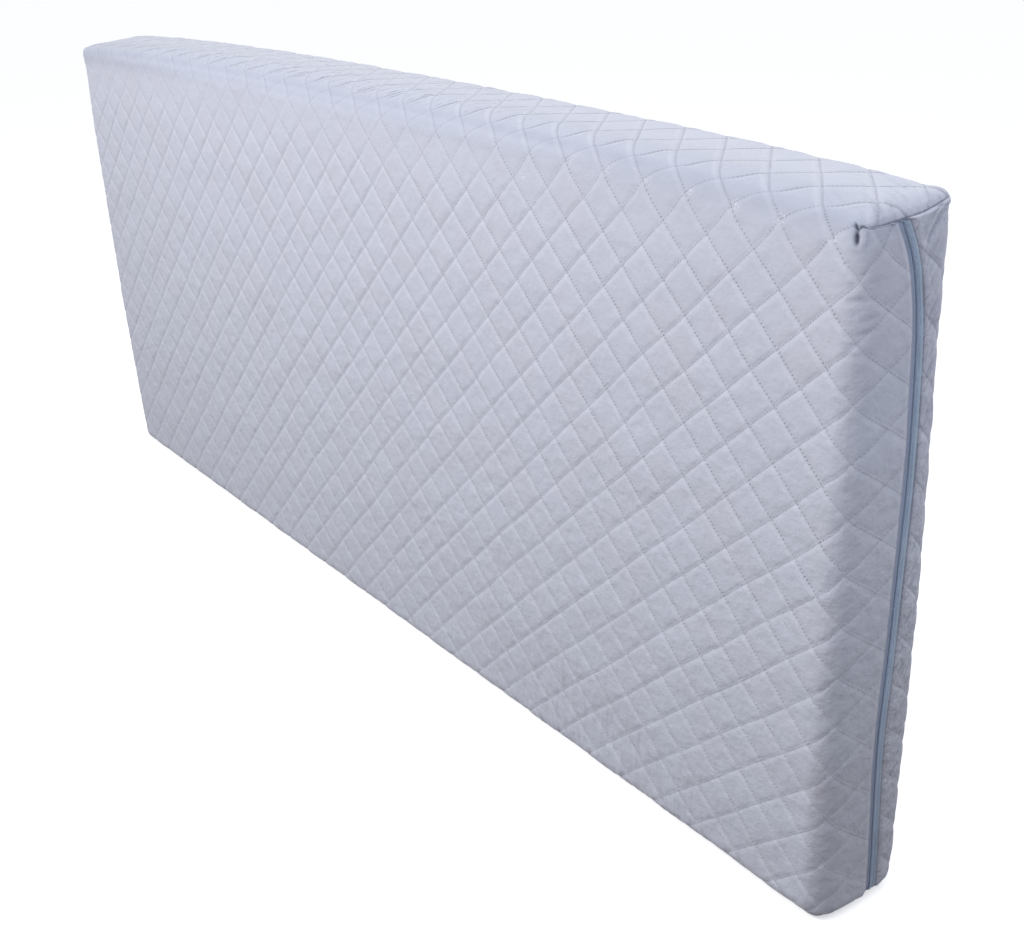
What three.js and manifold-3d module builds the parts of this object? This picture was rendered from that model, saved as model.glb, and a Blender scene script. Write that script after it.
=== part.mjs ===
// A quilted, zipped protector pulled over a foam mattress that stands on its long side.
// Millimetres, +Z up, +X along the mattress with the zip at that end, -Y the face seen first.
// The origin lies under the middle of the underside.
import * as THREE from 'three';
import { mergeVertices } from 'three/addons/utils/BufferGeometryUtils.js';
import Module from 'manifold-3d';

const wasm = await Module();
wasm.setup();

// Driving sizes of the covered mattress, measured at the bottom of the stitched lines
const coverLength = 1600;
const coverDepth = 110;
const coverHeight = 702;

// The stretched cloth rounds every edge, draws the top corners down and pulls in the back by the zip
const edgeRound = { x: 18, y: 22, z: 14 };
const footRound = { front: 19, back: 25 };
const softFront = { addY: 16, addZ: 21, middleX: -80, from: 100, to: 760 };
const topSeamDrop = 0.82;
const bottomSeamDrop = 0.2;
const bellyDepth = 4;
const cornerDroop = { left: { front: 26, back: 18 }, right: { front: 17, back: 13 } };
const droopPower = 2.5;
const backPinch = { depth: 6, fromX: 600, fromZ: 330, toZ: 620 };

// Quilted cloth: diamonds of thread, padded between
const clothAtStitch = 2.5;
const puffHeight = 3;
const seamDip = 0.6;
const diamondWidth = 55.4;
const diamondHeight = 52.4;
const crossingX = 695;
const crossingZ = 654;

// Zip in the end: where its middle runs, from the floor up
const zipRun = [
  { z: 0, y: 18.5 },
  { z: 50, y: 18 },
  { z: 100, y: 15.3 },
  { z: 190, y: 12.4 },
  { z: 275, y: 15.8 },
  { z: 365, y: 18.2 },
  { z: 455, y: 21 },
  { z: 530, y: 20.5 },
  { z: 585, y: 18 },
  { z: 625, y: 12.5 },
  { z: 655, y: 4.5 },
  { z: 690, y: -12 },
  { z: 702, y: -17 },
];
const zipFoot = 16;
const zipOpening = 16;
const zipSteps = 26;
const coilWidth = 5.6;
const coilRise = 1.5;
const coilCrown = 0.4;
const tapeThickness = 1.2;
const fitGap = 0.3;
const cutReach = 8;

// Grid lines of the plain inner surfaces
const innerEdgeBand = 30;
const innerSpansX = 8;
const innerSpansZ = 4;

const snap = 0.01;
const half = { x: coverLength / 2, y: coverDepth / 2 };

const materials = {
  cloth: new THREE.MeshStandardMaterial({ color: 0xc3c8da, roughness: 0.85, metalness: 0 }),
  foam: new THREE.MeshStandardMaterial({ color: 0xece6d2, roughness: 0.95, metalness: 0 }),
  tape: new THREE.MeshStandardMaterial({ color: 0x8d9bb4, roughness: 0.8, metalness: 0 }),
  coil: new THREE.MeshStandardMaterial({ color: 0x74839d, roughness: 0.45, metalness: 0 }),
};

const { clamp, lerp, smoothstep } = THREE.MathUtils;

// Middle of the zip at a height, on a smooth curve through the rows of zipRun
const zipCurve = new THREE.SplineCurve(zipRun.map((row) => new THREE.Vector2(row.z, row.y)));
const zipSamples = zipCurve.getPoints(zipRun.length * 12);

function zipMiddle(z) {
  const after = zipSamples.findIndex((sample) => sample.x >= z);
  if (after < 1) return zipSamples[after === 0 ? 0 : zipSamples.length - 1].y;
  const low = zipSamples[after - 1];
  const high = zipSamples[after];
  return low.y + ((high.y - low.y) * (z - low.x)) / (high.x - low.x);
}

// How far the edges near a point are rounded: the foot is softer than the top, most at the back,
// and the upper front edge is softest along its middle
function roundNear(point) {
  const foot = lerp(footRound.front, footRound.back, clamp(point.y / half.y, 0, 1));
  const round = new THREE.Vector3(edgeRound.x, edgeRound.y, foot);
  if (point.z > coverHeight / 2) {
    const fromMiddle = Math.abs(point.x - softFront.middleX);
    const softness = point.y < 0 ? 1 - smoothstep(fromMiddle, softFront.from, softFront.to) : 0;
    round.y += softFront.addY * softness;
    round.z = edgeRound.z + softFront.addZ * softness;
  }
  return round;
}

// Excess of a point over the inner box that the rounded edges leave, from -1 to 1 each way
function edgeExcess(point) {
  const round = roundNear(point);
  const core = new THREE.Vector3(
    clamp(point.x, -half.x + round.x, half.x - round.x),
    clamp(point.y, -half.y + round.y, half.y - round.y),
    clamp(point.z, round.z, coverHeight - round.z),
  );
  return { core, round, excess: point.clone().sub(core).divide(round) };
}

// The top sinks towards the ends, and the back is drawn in at the top of the zip's end
function settle(placed) {
  const heightShare = (2 * placed.z) / coverHeight - 1;
  placed.y *= 1 + (bellyDepth / half.y) * (1 - heightShare ** 2);
  const lengthShare = Math.abs(placed.x) / half.x;
  const droop = placed.x > 0 ? cornerDroop.right : cornerDroop.left;
  const drop = lerp(droop.front, droop.back, (placed.y / half.y + 1) / 2);
  placed.z *= 1 - (drop / coverHeight) * lengthShare ** droopPower;
  const pinchShare =
    smoothstep(placed.x, backPinch.fromX, half.x) * smoothstep(placed.z, backPinch.fromZ, backPinch.toZ);
  placed.y -= backPinch.depth * pinchShare * Math.max(placed.y / half.y, 0);
  return placed;
}

// Carries a point of the sharp-edged box onto the stretched cover, raised by lift
function coverPoint(sharp, lift) {
  const point = sharp.clone();
  const towardsZip = clamp(edgeExcess(point).excess.x, 0, 1) ** 2;
  point.y += zipMiddle(point.z) * (1 - Math.abs(point.y) / half.y) * towardsZip;

  const { core, round, excess } = edgeExcess(point);
  const drop = excess.z > 0 ? topSeamDrop : bottomSeamDrop;
  excess.z *= 1 - drop * excess.x ** 2;
  excess.normalize();
  const normal = excess.clone().divide(round).normalize();
  const placed = core.add(excess.multiply(round));
  return settle(placed.addScaledVector(normal, lift));
}

// The cloth as it is cut: u runs along the length, v round the girth from the lower front edge.
// Each panel is a rectangle of it, with the place of a point on the sharp-edged box.
const girth = { topFront: coverHeight, topBack: coverHeight + coverDepth };
girth.bottomBack = girth.topBack + coverHeight;

function panelList() {
  const panels = [];
  const body = { u0: -half.x, u1: half.x };
  const front = { v0: 0, v1: girth.topFront };
  const back = { v0: girth.topBack, v1: girth.bottomBack };
  const frontZ = (v) => v;
  const backZ = (v) => girth.bottomBack - v;

  panels.push({ ...body, ...front, place: (u, v) => [u, -half.y, frontZ(v)] });
  panels.push({ ...body, ...back, place: (u, v) => [u, half.y, backZ(v)] });
  panels.push({
    ...body,
    v0: girth.topFront,
    v1: girth.topBack,
    place: (u, v) => [u, v - girth.topFront - half.y, coverHeight],
  });
  panels.push({
    ...body,
    v0: -half.y,
    v1: 0,
    flatEnd: -edgeRound.y,
    place: (u, v) => [u, -half.y - v, 0],
  });
  panels.push({
    ...body,
    v0: girth.bottomBack,
    v1: girth.bottomBack + half.y,
    flatEnd: girth.bottomBack + edgeRound.y,
    place: (u, v) => [u, half.y - (v - girth.bottomBack), 0],
  });
  for (const side of [-1, 1]) {
    const u0 = side > 0 ? half.x : -half.x - half.y;
    const flap = { u0, u1: u0 + half.y };
    const inward = (u) => Math.abs(u) - half.x;
    panels.push({ ...flap, ...front, place: (u, v) => [side * half.x, -half.y + inward(u), frontZ(v)] });
    panels.push({ ...flap, ...back, place: (u, v) => [side * half.x, half.y - inward(u), backZ(v)] });
  }
  return panels;
}

// Keeps the part of a flat polygon on one side of a line across u or v
function clipPolygon(polygon, axis, limit, sign) {
  const kept = [];
  polygon.forEach((corner, index) => {
    const next = polygon[(index + 1) % polygon.length];
    const here = sign * (corner[axis] - limit);
    const there = sign * (next[axis] - limit);
    if (here >= -snap) kept.push(Math.abs(here) < snap ? { ...corner, [axis]: limit } : corner);
    if ((here > snap && there < -snap) || (here < -snap && there > snap)) {
      const share = here / (here - there);
      const cut = {
        u: corner.u + (next.u - corner.u) * share,
        v: corner.v + (next.v - corner.v) * share,
        lift: corner.lift + (next.lift - corner.lift) * share,
      };
      cut[axis] = limit;
      kept.push(cut);
    }
  });
  return kept.filter((corner, index) => {
    const next = kept[(index + 1) % kept.length];
    return Math.hypot(corner.u - next.u, corner.v - next.v) > snap;
  });
}

// The four facets of one padded diamond
function diamondFacets(column, row) {
  const u = crossingX + (column * diamondWidth) / 2;
  const v = crossingZ + (row * diamondHeight) / 2;
  const peak = { u, v, lift: puffHeight };
  const corners = [
    { u: u + diamondWidth / 2, v, lift: 0 },
    { u, v: v + diamondHeight / 2, lift: 0 },
    { u: u - diamondWidth / 2, v, lift: 0 },
    { u, v: v - diamondHeight / 2, lift: 0 },
  ];
  return corners.map((corner, index) => [peak, corner, corners[(index + 1) % 4]]);
}

// Names the sewn line that a point of the box lies on, with its place along that line
function seamOf(point) {
  const atEnd = Math.abs(Math.abs(point.x) - half.x) < snap;
  const onFloor = point.z < snap;
  const onTop = coverHeight - point.z < snap;
  const lines = [];
  if (atEnd && onTop) lines.push({ name: `top ${Math.sign(point.x)}`, along: point.y });
  if (atEnd && onFloor) lines.push({ name: `foot ${Math.sign(point.x)}`, along: point.y });
  if (atEnd && Math.abs(point.y) < snap) {
    lines.push({ name: `end ${Math.sign(point.x)}`, along: point.z });
  }
  if (onFloor && Math.abs(point.y) < snap) lines.push({ name: 'under', along: point.x });
  return lines;
}

// A panel as one cell, or as two where its flat part ends at a fold
function cellsOf(panel) {
  const { u0, u1, v0, v1, flatEnd } = panel;
  if (flatEnd === undefined) return [{ u0, u1, v0, v1 }];
  return [
    { u0, u1, v0, v1: flatEnd },
    { u0, u1, v0: flatEnd, v1 },
  ];
}

function panelPolygons(panel) {
  const polygons = [];
  const columnOf = (u) => (2 * (u - crossingX)) / diamondWidth;
  const rowOf = (v) => (2 * (v - crossingZ)) / diamondHeight;
  for (const cell of cellsOf(panel)) {
    for (let row = Math.floor(rowOf(cell.v0)) - 1; row <= rowOf(cell.v1) + 1; row += 1) {
      for (let column = Math.floor(columnOf(cell.u0)) - 1; column <= columnOf(cell.u1) + 1; column += 1) {
        if ((column + row) % 2 === 0) continue;
        for (const facet of diamondFacets(column, row)) {
          let polygon = clipPolygon(facet, 'u', cell.u0, 1);
          polygon = clipPolygon(polygon, 'u', cell.u1, -1);
          polygon = clipPolygon(polygon, 'v', cell.v0, 1);
          polygon = clipPolygon(polygon, 'v', cell.v1, -1);
          if (polygon.length < 3) continue;
          polygons.push(polygon.map((corner) => liftedCorner(panel, corner)));
        }
      }
    }
  }
  return polygons;
}

// The underside stays flat, and a seam draws the padding in
function liftedCorner(panel, corner) {
  const sharp = new THREE.Vector3(...panel.place(corner.u, corner.v));
  const seams = seamOf(sharp);
  let lift = corner.lift;
  if (seams.length > 0) lift = -seamDip;
  if (sharp.z < snap && Math.abs(sharp.x) < half.x - snap) lift = 0;
  return { sharp, seams, lift };
}

// Gives both sides of every sewn line the same corners, so that they close on each other
function weldSeams(polygons) {
  const stops = new Map();
  for (const corner of polygons.flat()) {
    for (const seam of corner.seams) {
      if (!stops.has(seam.name)) stops.set(seam.name, []);
      stops.get(seam.name).push({ along: seam.along, corner });
    }
  }
  for (const [name, list] of stops) {
    list.sort((a, b) => a.along - b.along);
    stops.set(name, list.filter((stop, index) => index === 0 || stop.along - list[index - 1].along > snap));
  }
  return polygons.map((polygon) => {
    const welded = [];
    polygon.forEach((corner, index) => {
      const next = polygon[(index + 1) % polygon.length];
      welded.push(corner);
      for (const seam of corner.seams) {
        const other = next.seams.find((candidate) => candidate.name === seam.name);
        if (!other) continue;
        const low = Math.min(seam.along, other.along) + snap;
        const high = Math.max(seam.along, other.along) - snap;
        const between = stops.get(seam.name).filter((stop) => stop.along > low && stop.along < high);
        if (other.along < seam.along) between.reverse();
        welded.push(...between.map((stop) => stop.corner));
      }
    });
    return welded;
  });
}

// Closed solid from triangles given as corner points
function solidFrom(triangles) {
  const positions = triangles.flat().flatMap((point) => [point.x, point.y, point.z]);
  const geometry = new THREE.BufferGeometry();
  geometry.setAttribute('position', new THREE.Float32BufferAttribute(positions, 3));
  return solidOf(geometry);
}

function solidOf(geometry) {
  geometry.deleteAttribute('normal');
  geometry.deleteAttribute('uv');
  const merged = mergeVertices(geometry, 1e-3);
  const corners = merged.index.array;
  const kept = [];
  for (let i = 0; i < corners.length; i += 3) {
    const [a, b, c] = [corners[i], corners[i + 1], corners[i + 2]];
    if (a !== b && b !== c && c !== a) kept.push(a, b, c);
  }
  return new wasm.Manifold(
    new wasm.Mesh({
      numProp: 3,
      vertProperties: merged.attributes.position.array,
      triVerts: new Uint32Array(kept),
    }),
  );
}

function geometryOf(solid) {
  const mesh = solid.getMesh();
  const geometry = new THREE.BufferGeometry();
  geometry.setAttribute('position', new THREE.BufferAttribute(mesh.vertProperties, 3));
  geometry.setIndex(new THREE.BufferAttribute(mesh.triVerts, 1));
  geometry.computeVertexNormals();
  return geometry;
}

// Fans a polygon from the corner that gives the least narrow triangles
function fan(points) {
  const count = points.length;
  if (count === 3) return [points];
  let best = null;
  for (let start = 0; start < count; start += 1) {
    const triangles = [];
    let worst = Infinity;
    for (let step = 1; step < count - 1; step += 1) {
      const triangle = [0, step, step + 1].map((offset) => points[(start + offset) % count]);
      const [a, b, c] = triangle;
      const area = b.clone().sub(a).cross(c.clone().sub(a)).length();
      worst = Math.min(worst, area);
      triangles.push(triangle);
    }
    if (!best || worst > best.worst) best = { worst, triangles };
  }
  return best.triangles;
}

function quiltedOutside() {
  const polygons = panelList().flatMap(panelPolygons);
  const triangles = [];
  for (const polygon of weldSeams(polygons)) {
    const points = polygon.map((corner) => coverPoint(corner.sharp, corner.lift));
    triangles.push(...fan(points));
  }
  return solidFrom(triangles);
}

// Plain rounded block with the same crown and belly, sunk below the stitched surface
function innerBlock(depthBelow) {
  const steps = (low, high, spans) => {
    const inner = [];
    for (let i = 0; i <= spans; i += 1) {
      inner.push(low + innerEdgeBand + ((high - low - 2 * innerEdgeBand) * i) / spans);
    }
    return [low, ...inner, high];
  };
  const xs = steps(-half.x, half.x, innerSpansX);
  const ys = steps(-half.y, half.y, 1);
  const zs = steps(0, coverHeight, innerSpansZ);
  const triangles = [];
  const face = (first, second, outward, build) => {
    for (let i = 0; i < first.length - 1; i += 1) {
      for (let j = 0; j < second.length - 1; j += 1) {
        const [a, b, c, d] = [
          build(first[i], second[j]),
          build(first[i + 1], second[j]),
          build(first[i + 1], second[j + 1]),
          build(first[i], second[j + 1]),
        ].map(([x, y, z]) => coverPoint(new THREE.Vector3(x, y, z), -depthBelow));
        triangles.push(...(outward ? [[a, b, c], [a, c, d]] : [[a, c, b], [a, d, c]]));
      }
    }
  };
  for (const y of [-half.y, half.y]) face(xs, zs, y < 0, (x, z) => [x, y, z]);
  for (const z of [0, coverHeight]) face(xs, ys, z > 0, (x, y) => [x, y, z]);
  for (const x of [-half.x, half.x]) face(ys, zs, x > 0, (y, z) => [x, y, z]);
  return solidFrom(triangles);
}

// A strip along the zip: a box bent onto the end of the cover.
// from and to are measured across the zip from its middle, low and high from the stitched surface.
// A ridge lifts the middle of the strip's outer side.
function zipStrip({ from, to, low, high, bottom, top, ridge = 0 }) {
  const geometry = new THREE.BoxGeometry(high - low, to - from, top - bottom, 1, ridge > 0 ? 2 : 1, zipSteps);
  geometry.translate((high + low) / 2, (to + from) / 2, (top + bottom) / 2);
  const position = geometry.attributes.position;
  for (let i = 0; i < position.count; i += 1) {
    const across = position.getY(i);
    const z = position.getZ(i);
    const onRidge = Math.abs(across - (from + to) / 2) < snap && position.getX(i) > low;
    const lift = position.getX(i) + (onRidge ? ridge : 0);
    const placed = coverPoint(new THREE.Vector3(half.x, 0, z), lift);
    position.setXYZ(i, placed.x, placed.y + across, placed.z);
  }
  return solidOf(geometry);
}

function meshOf(name, solid, material) {
  const mesh = new THREE.Mesh(geometryOf(solid), material);
  mesh.name = name;
  return mesh;
}

// Quilted cover: padded outside, smooth inside, opened along the zip
const zipTop = coverHeight - edgeRound.z;
const opening = zipStrip({
  from: -zipOpening / 2,
  to: zipOpening / 2,
  low: -cutReach,
  high: cutReach,
  bottom: zipFoot,
  top: zipTop,
});
const cover = quiltedOutside().subtract(innerBlock(clothAtStitch)).subtract(opening);

// Foam mattress that the cover fits
const mattress = innerBlock(clothAtStitch + fitGap);

// Zip: a woven tape under each flap and the coil between them
const tapeEdge = zipOpening / 2 - fitGap;
const coilEdge = coilWidth / 2;
const zipSpan = { bottom: zipFoot + fitGap, top: zipTop - fitGap };
const tapeLayer = { low: -clothAtStitch, high: -clothAtStitch + tapeThickness };
const frontTape = zipStrip({ ...zipSpan, ...tapeLayer, from: -tapeEdge, to: -coilEdge - fitGap });
const backTape = zipStrip({ ...zipSpan, ...tapeLayer, from: coilEdge + fitGap, to: tapeEdge });
const coil = zipStrip({
  ...zipSpan,
  from: -coilEdge,
  to: coilEdge,
  low: -clothAtStitch,
  high: -clothAtStitch + coilRise,
  ridge: coilCrown,
});

const group = new THREE.Group();
group.add(meshOf('quilted_cover', cover, materials.cloth));
group.add(meshOf('mattress', mattress, materials.foam));
group.add(meshOf('zip_tape_front', frontTape, materials.tape));
group.add(meshOf('zip_tape_back', backTape, materials.tape));
group.add(meshOf('zip_coil', coil, materials.coil));

export default group;
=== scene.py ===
import math
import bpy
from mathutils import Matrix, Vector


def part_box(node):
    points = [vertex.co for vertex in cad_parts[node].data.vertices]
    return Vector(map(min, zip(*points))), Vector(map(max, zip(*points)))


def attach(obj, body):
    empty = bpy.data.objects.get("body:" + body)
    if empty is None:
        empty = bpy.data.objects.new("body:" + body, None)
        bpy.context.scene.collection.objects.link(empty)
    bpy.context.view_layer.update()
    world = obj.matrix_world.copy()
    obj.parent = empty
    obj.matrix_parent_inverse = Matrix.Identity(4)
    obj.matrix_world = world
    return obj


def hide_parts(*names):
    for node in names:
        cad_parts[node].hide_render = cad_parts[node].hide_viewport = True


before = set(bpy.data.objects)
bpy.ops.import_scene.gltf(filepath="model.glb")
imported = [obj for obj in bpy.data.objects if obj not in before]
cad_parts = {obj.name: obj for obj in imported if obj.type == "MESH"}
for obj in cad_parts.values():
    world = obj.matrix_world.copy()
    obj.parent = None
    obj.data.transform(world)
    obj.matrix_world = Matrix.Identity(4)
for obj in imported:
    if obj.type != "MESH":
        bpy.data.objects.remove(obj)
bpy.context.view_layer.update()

from types import SimpleNamespace

import bmesh
import bpy
import numpy as np
from mathutils import Matrix, Vector

MM = 0.001

# The covered mattress at the bottom of the stitched lines, in metres
PUFF = 3 * MM
SWELL = 7.2 * MM
COVER_LOW, COVER_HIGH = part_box("quilted_cover")
LENGTH = COVER_HIGH.x - COVER_LOW.x - 2 * PUFF
DEPTH = COVER_HIGH.y - COVER_LOW.y - 2 * SWELL
HEIGHT = COVER_HIGH.z - PUFF
HALF_LENGTH = LENGTH / 2
HALF_DEPTH = DEPTH / 2

# Rounded edges, drawn-down corners and swollen faces of the stretched cover
EDGE_ROUND = np.array([18, 22, 14]) * MM
SOFT_FRONT = (16 * MM, 21 * MM)
SOFT_MIDDLE = -80 * MM
SOFT_REACH = (100 * MM, 760 * MM)
FOOT_ROUND_FRONT = 19 * MM
FOOT_ROUND_BACK = 25 * MM
TOP_SEAM_DROP = 0.82
BACK_CORNER_FILL = 0.45
FOOT_SEAM_DROP = 0.2
BELLY = 4 * MM
DROOP_LEFT = (26 * MM, 18 * MM)
DROOP_RIGHT = (17 * MM, 13 * MM)
DROOP_POWER = 2.5
PINCH = 6 * MM
PINCH_ALONG = (600 * MM, HALF_LENGTH)
PINCH_UP = (330 * MM, 620 * MM)

# Stitched diamonds, counted from one crossing near the upper front corner
DIAMOND_WIDTH = 55.4 * MM
DIAMOND_HEIGHT = 52.4 * MM
CROSSING_U = 695 * MM
CROSSING_V = 654 * MM
DIAMOND_SIDE = math.hypot(DIAMOND_WIDTH, DIAMOND_HEIGHT) / 2
STITCHES_PER_SIDE = 10.5
NET_STEPS = 14
NET_CROWDING = 0.35

# The cut cloth: u runs along the mattress, v round it from the lower front edge
TOP_FRONT = HEIGHT
TOP_BACK = HEIGHT + DEPTH
FOOT_BACK = TOP_BACK + HEIGHT
UNDER_FRONT = -HALF_DEPTH
UNDER_BACK = FOOT_BACK + HALF_DEPTH
ZIP_HEM = 8 * MM
LEFT_EDGE = -HALF_LENGTH - HALF_DEPTH
RIGHT_EDGE = HALF_LENGTH + HALF_DEPTH - ZIP_HEM
PIT = np.array([HALF_LENGTH - 9 * MM, TOP_FRONT - 15.5 * MM])

# The stretch along the mattress over which it comes to its right part
RIGHT_PART = (150 * MM, 450 * MM)

# Width, length and area that each piece of the cover is cut to
HALF_CUT = (
    LENGTH / 2 + HALF_DEPTH,
    HEIGHT + HALF_DEPTH,
    LENGTH / 2 * (HEIGHT + HALF_DEPTH) + HALF_DEPTH * HEIGHT,
)
PIECES = {
    "cover_front_left": HALF_CUT,
    "cover_front_right": HALF_CUT,
    "cover_top": (LENGTH, DEPTH, LENGTH * DEPTH),
    "cover_back_left": HALF_CUT,
    "cover_back_right": HALF_CUT,
}

# Extra cuts that give the cloth narrow faces beside its seams and hems
END_BAND = 8 * MM
BESIDE_SEAM = (1.5 * MM, 4 * MM)
HEM_BAND = 12 * MM
BESIDE_HEM = (1.5 * MM, 4.5 * MM, 7.5 * MM)

# Padding between the stitched lines, seams, creases and puckers: heights and depths
QUILT_BASE = 0.8 * MM
QUILT_RISE = 1.4 * MM
UNDER_QUILT = 0.3
BACK_SWELL = 0.5 * MM
FOLD_SINK = 1.6 * MM
CRISP_RIDGE = 2 * MM
FOOT_CREASE = 0.9 * MM
CORNER_CREASE = 1.4 * MM
SEAM_GROOVE = 1.1 * MM
HEM_RIDGE = 0.7 * MM
BROAD_WAVES = 0.4 * MM
SMALL_WAVES = 0.15 * MM
PIT_RIM = 0.8 * MM
PIT_LINE = 1.6 * MM
PIT_DEPTH = 3 * MM
CORNER_PEAK = 3 * MM
DEEPEST = 2.6 * MM

# Stray of the stitched rows on the front; they lean most and begin to sag at one share of its height
LEAN_HEIGHT = 0.45
ROW_ASIDE = 2.6 * MM
ROW_BOW = 6 * MM
ROW_LEAN = 3.9 * MM
ROW_LEAN_LOSS = 39 * MM
ROW_ASIDE_LEFT = 2.5 * MM
ROW_ASIDE_RIGHT = 0.9 * MM
ROW_LOW = 0.6 * MM
ROW_SAG = 15 * MM
ROW_RISE_AT_TURN = 5.5 * MM
ROW_WAVER = 0.8 * MM

# Their stray past the upper front edge, and on the ends towards the zip
TOP_ASIDE = 5.1 * MM
TOP_STRETCH = 0.095
TOP_FORWARD = 3.4 * MM
TOP_FORWARD_LEFT = 3 * MM
BACK_SHIFT = 13 * MM
BACK_STRETCH = 0.037
END_SLANT_FRONT = 0.2
END_SLANT_BACK = 0.18

# How far the rows on the top have slid along it, in millimetres: place, slide
TOP_SLIDE = [
    (-810, -5),
    (-740, -1),
    (-600, 12),
    (-450, 21.5),
    (-300, 26),
    (-150, 25),
    (0, 20.8),
    (150, 15.5),
    (300, 9),
    (450, 3),
    (600, 0.5),
    (810, 0.5),
]

# The middle of the zip, in millimetres: height, sideways place
ZIP_RUN = [
    (0, 18.5),
    (50, 18),
    (100, 15.3),
    (190, 12.4),
    (275, 15.8),
    (365, 18.2),
    (455, 21),
    (530, 20.5),
    (585, 18),
    (625, 12.5),
    (655, 4.5),
    (690, -12),
    (702, -17),
]

# What the hems leave open over the zip, in millimetres: height, half of the width
ZIP_GAP = [
    (0, 7),
    (60, 6.6),
    (330, 6.7),
    (480, 7),
    (560, 7.2),
    (640, 7.2),
    (702, 6.4),
]

# Where painted glints on a few ends of thread stand out, in millimetres: place along the cloth,
# place round it
GLINTS = [
    (453, 680),
    (503, 680),
    (557, 680),
    (610, 681),
    (664, 682),
    (715, 682),
    (771, 678),
    (690, 560),
    (380, 655),
    (640, 160),
    (745, 320),
    (-430, 560),
]
GLINT_REACH = 5.2 * MM
GLINT_STRENGTH = 0.85

# Shade over the upper front edge: millimetres past the edge, share of the full shade
TURN_SHADE = [
    (-36, 0),
    (-28, 0.35),
    (-21, 1),
    (-12, 0.6),
    (-6, 0.6),
    (1, 1.05),
    (20, 1.05),
    (38, 0.5),
    (60, 0),
]

# Zip: woven tapes under the hems and a nylon coil between them
ZIP_ASIDE = 0.8 * MM
ZIP_SINK_TOP = 1.2 * MM
ZIP_RAISE_FOOT = 3 * MM
TAPE_LIFT = -1.2 * MM
TAPE_INNER = 1.2 * MM
TAPE_OUTER = 12.6 * MM
TAPE_THICKNESS = 0.5 * MM
COIL_WIDTH = 5.6 * MM
COIL_PITCH = 1.15 * MM
COIL_THICKNESS = 0.9 * MM
COIL_CROWN = 0.45 * MM
COIL_RAISE = 0.35 * MM
COIL_ASIDE = 0.3 * MM

# The rib up each tape: how high it is, its distance from the middle and its width
FRONT_RIB = (0.6 * MM, 3.9 * MM, 0.8 * MM)
BACK_RIB = (1.2 * MM, 5.2 * MM, 1.9 * MM)


def smooth(value, low, high):
    """Rises softly from 0 at low to 1 at high."""
    share = np.clip((value - low) / (high - low), 0, 1)
    return share * share * (3 - 2 * share)


def catmull(rows, per_span=12):
    """Points of the smooth curve through rows."""
    rows = np.array(rows, float) * MM
    padded = np.vstack([rows[0], rows, rows[-1]])
    t = np.linspace(0, 1, per_span, endpoint=False)[:, None]
    points = []
    for before, start, end, after in zip(padded, padded[1:], padded[2:], padded[3:]):
        points.append(
            0.5
            * (
                2 * start
                + (end - before) * t
                + (2 * before - 5 * start + 4 * end - after) * t**2
                + (3 * start - before - 3 * end + after) * t**3
            )
        )
    return np.vstack(points + [rows[-1:]])


ZIP_CURVE = catmull(ZIP_RUN)
SLIDE_CURVE = catmull(TOP_SLIDE)


def zip_middle(z):
    return np.interp(z, ZIP_CURVE[:, 0], ZIP_CURVE[:, 1])


def zip_gap(z):
    heights, widths = np.array(ZIP_GAP).T * MM
    return np.interp(z, heights, widths)


def cover_point(sharp, lift):
    """Carries points of the sharp-edged box onto the stretched cover, raised by lift."""
    backward = np.clip(sharp[:, 1] / HALF_DEPTH, 0, 1)
    foot = FOOT_ROUND_FRONT + (FOOT_ROUND_BACK - FOOT_ROUND_FRONT) * backward
    upper = sharp[:, 2] > HEIGHT / 2
    softness = 1 - smooth(np.abs(sharp[:, 0] - SOFT_MIDDLE), *SOFT_REACH)
    softness = np.where(upper & (sharp[:, 1] < 0), softness, 0)
    rounding = np.tile(EDGE_ROUND, (len(sharp), 1))
    rounding[:, 1] += SOFT_FRONT[0] * softness
    rounding[:, 2] = np.where(upper, EDGE_ROUND[2] + SOFT_FRONT[1] * softness, foot)
    low = np.array([-HALF_LENGTH, -HALF_DEPTH, 0]) + rounding
    high = np.array([HALF_LENGTH, HALF_DEPTH, HEIGHT]) - rounding
    core = np.clip(sharp, low, high)
    excess = (sharp - core) / rounding
    back_corner = smooth(sharp[:, 1], 5 * MM, HALF_DEPTH) * (sharp[:, 0] > 0)
    top_drop = TOP_SEAM_DROP * (1 - BACK_CORNER_FILL * back_corner)
    drop = np.where(excess[:, 2] > 0, top_drop, FOOT_SEAM_DROP)
    excess[:, 2] *= 1 - drop * excess[:, 0] ** 2
    excess /= np.linalg.norm(excess, axis=1)[:, None]
    normal = excess / rounding
    normal /= np.linalg.norm(normal, axis=1)[:, None]
    return settled(core + excess * rounding + normal * lift[:, None])


def settled(placed):
    """Lets the top sink towards the ends, and draws the back in by the top of the zip."""
    x, y, z = placed.T
    y = y * (1 + BELLY / HALF_DEPTH * (1 - (2 * z / HEIGHT - 1) ** 2))
    backward = (y / HALF_DEPTH + 1) / 2
    left = DROOP_LEFT[0] + (DROOP_LEFT[1] - DROOP_LEFT[0]) * backward
    right = DROOP_RIGHT[0] + (DROOP_RIGHT[1] - DROOP_RIGHT[0]) * backward
    droop = np.where(x > 0, right, left)
    z = z * (1 - droop / HEIGHT * np.abs(x / HALF_LENGTH) ** DROOP_POWER)
    pinch = smooth(x, *PINCH_ALONG) * smooth(z, *PINCH_UP)
    y = y - PINCH * pinch * np.clip(y / HALF_DEPTH, 0, None)
    return np.stack([x, y, z], axis=1)


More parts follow.
